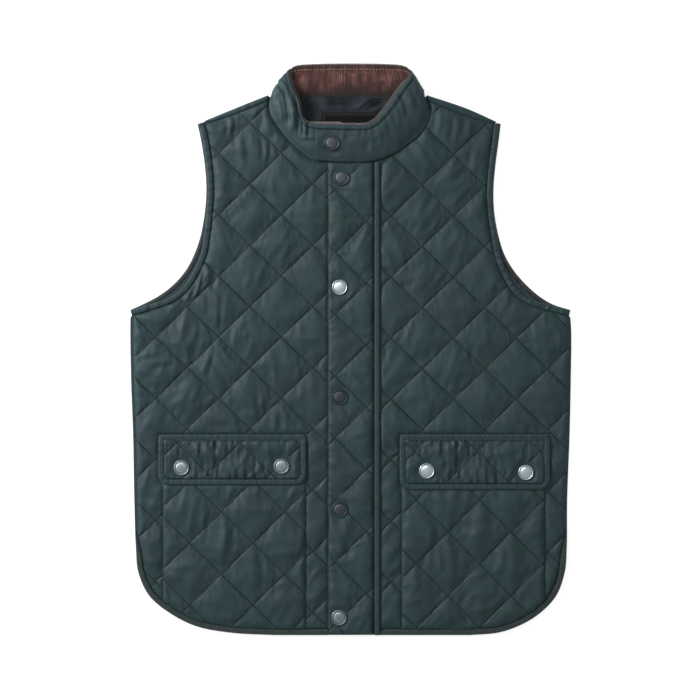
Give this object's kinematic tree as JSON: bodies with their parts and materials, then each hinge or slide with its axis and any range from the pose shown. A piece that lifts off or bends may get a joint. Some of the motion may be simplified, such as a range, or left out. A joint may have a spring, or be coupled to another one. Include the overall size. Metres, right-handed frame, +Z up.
{
  "type": "quilted vest",
  "caption": "Diamond-quilted vest laid flat, with a corduroy-lined stand collar, snapped storm flap, bound armholes and hem, and flapped patch pockets.",
  "frame": {"origin": "the middle of the underside, on the surface that the vest lies on", "axes": "+X to the image's right across the chest, +Y from the hem up to the collar, +Z up from the surface towards the viewer"},
  "size_m": [0.552, 0.7144, 0.0241],
  "materials": {
    "shell": "soft sheen nylon, dark blue-green",
    "binding": "ribbed tape, dark grey-green",
    "corduroy": "brown corduroy, matt with a nap",
    "lining": "smooth dark lining",
    "label": "plain near-black woven label",
    "snap_metal": "antique silver, worn bright on the raised ring"
  },
  "bodies": {
    "root": {"back_panel": "shell", "front_left": "shell", "front_right": "shell", "placket": "shell", "placket_binding": "shell", "collar": "shell", "collar_facing": "corduroy", "neck_lining": "lining", "neck_label": "label", "armhole_binding_back_left": "binding", "armhole_binding_back_right": "binding", "armhole_binding_front_left": "binding", "armhole_binding_front_right": "binding", "hem_binding_back": "binding", "hem_binding_front_left": "binding", "hem_binding_front_right": "binding", "pocket_left": "shell", "pocket_right": "shell", "flap_left": "shell", "flap_right": "shell", "flap_binding_left": "binding", "flap_binding_right": "binding", "snap_collar": "snap_metal", "snap_placket_1": "snap_metal", "snap_placket_2": "snap_metal", "snap_placket_3": "snap_metal", "snap_placket_4": "snap_metal", "snap_placket_5": "snap_metal", "snap_flap_left_outer": "snap_metal", "snap_flap_left_inner": "snap_metal", "snap_flap_right_inner": "snap_metal", "snap_flap_right_outer": "snap_metal"}
  },
  "joints": []
}
